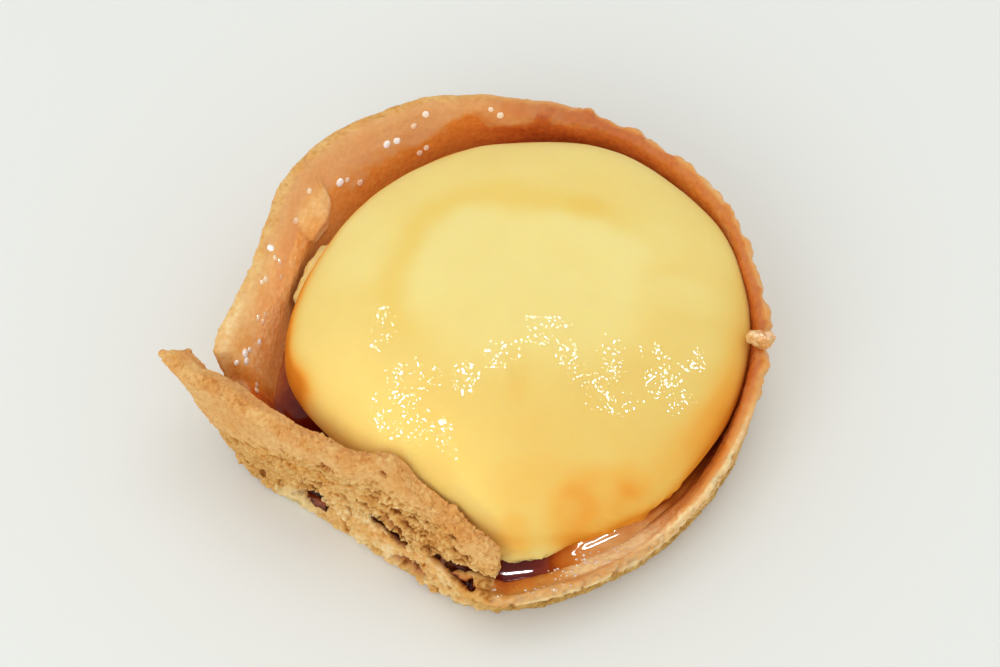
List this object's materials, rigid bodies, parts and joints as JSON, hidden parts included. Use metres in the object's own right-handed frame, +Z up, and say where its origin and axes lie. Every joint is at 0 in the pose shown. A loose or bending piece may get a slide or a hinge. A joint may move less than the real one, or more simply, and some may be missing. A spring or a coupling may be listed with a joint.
{
  "type": "pudding tart",
  "caption": "Shortcrust tart filled with a domed custard pudding in caramel, one side of the crust broken out and leaning against the filling.",
  "frame": {"origin": "middle of the flat underside of the crust, on the surface the tart stands on", "axes": "+Z up out of the filling, -Y towards the low broken front, -X towards the splayed end of the broken wall"},
  "size_m": [0.094, 0.0852, 0.0283],
  "materials": {
    "crust": "baked shortcrust, dry and crumbly outside, glazed with caramel inside",
    "pudding": "smooth wet custard",
    "caramel": "clear dark syrup"
  },
  "bodies": {
    "root": {"crust": "crust", "broken_wall": "crust", "rim_crumb": "crust", "pudding": "pudding", "custard_sliver": "pudding", "caramel": "caramel"}
  },
  "joints": []
}
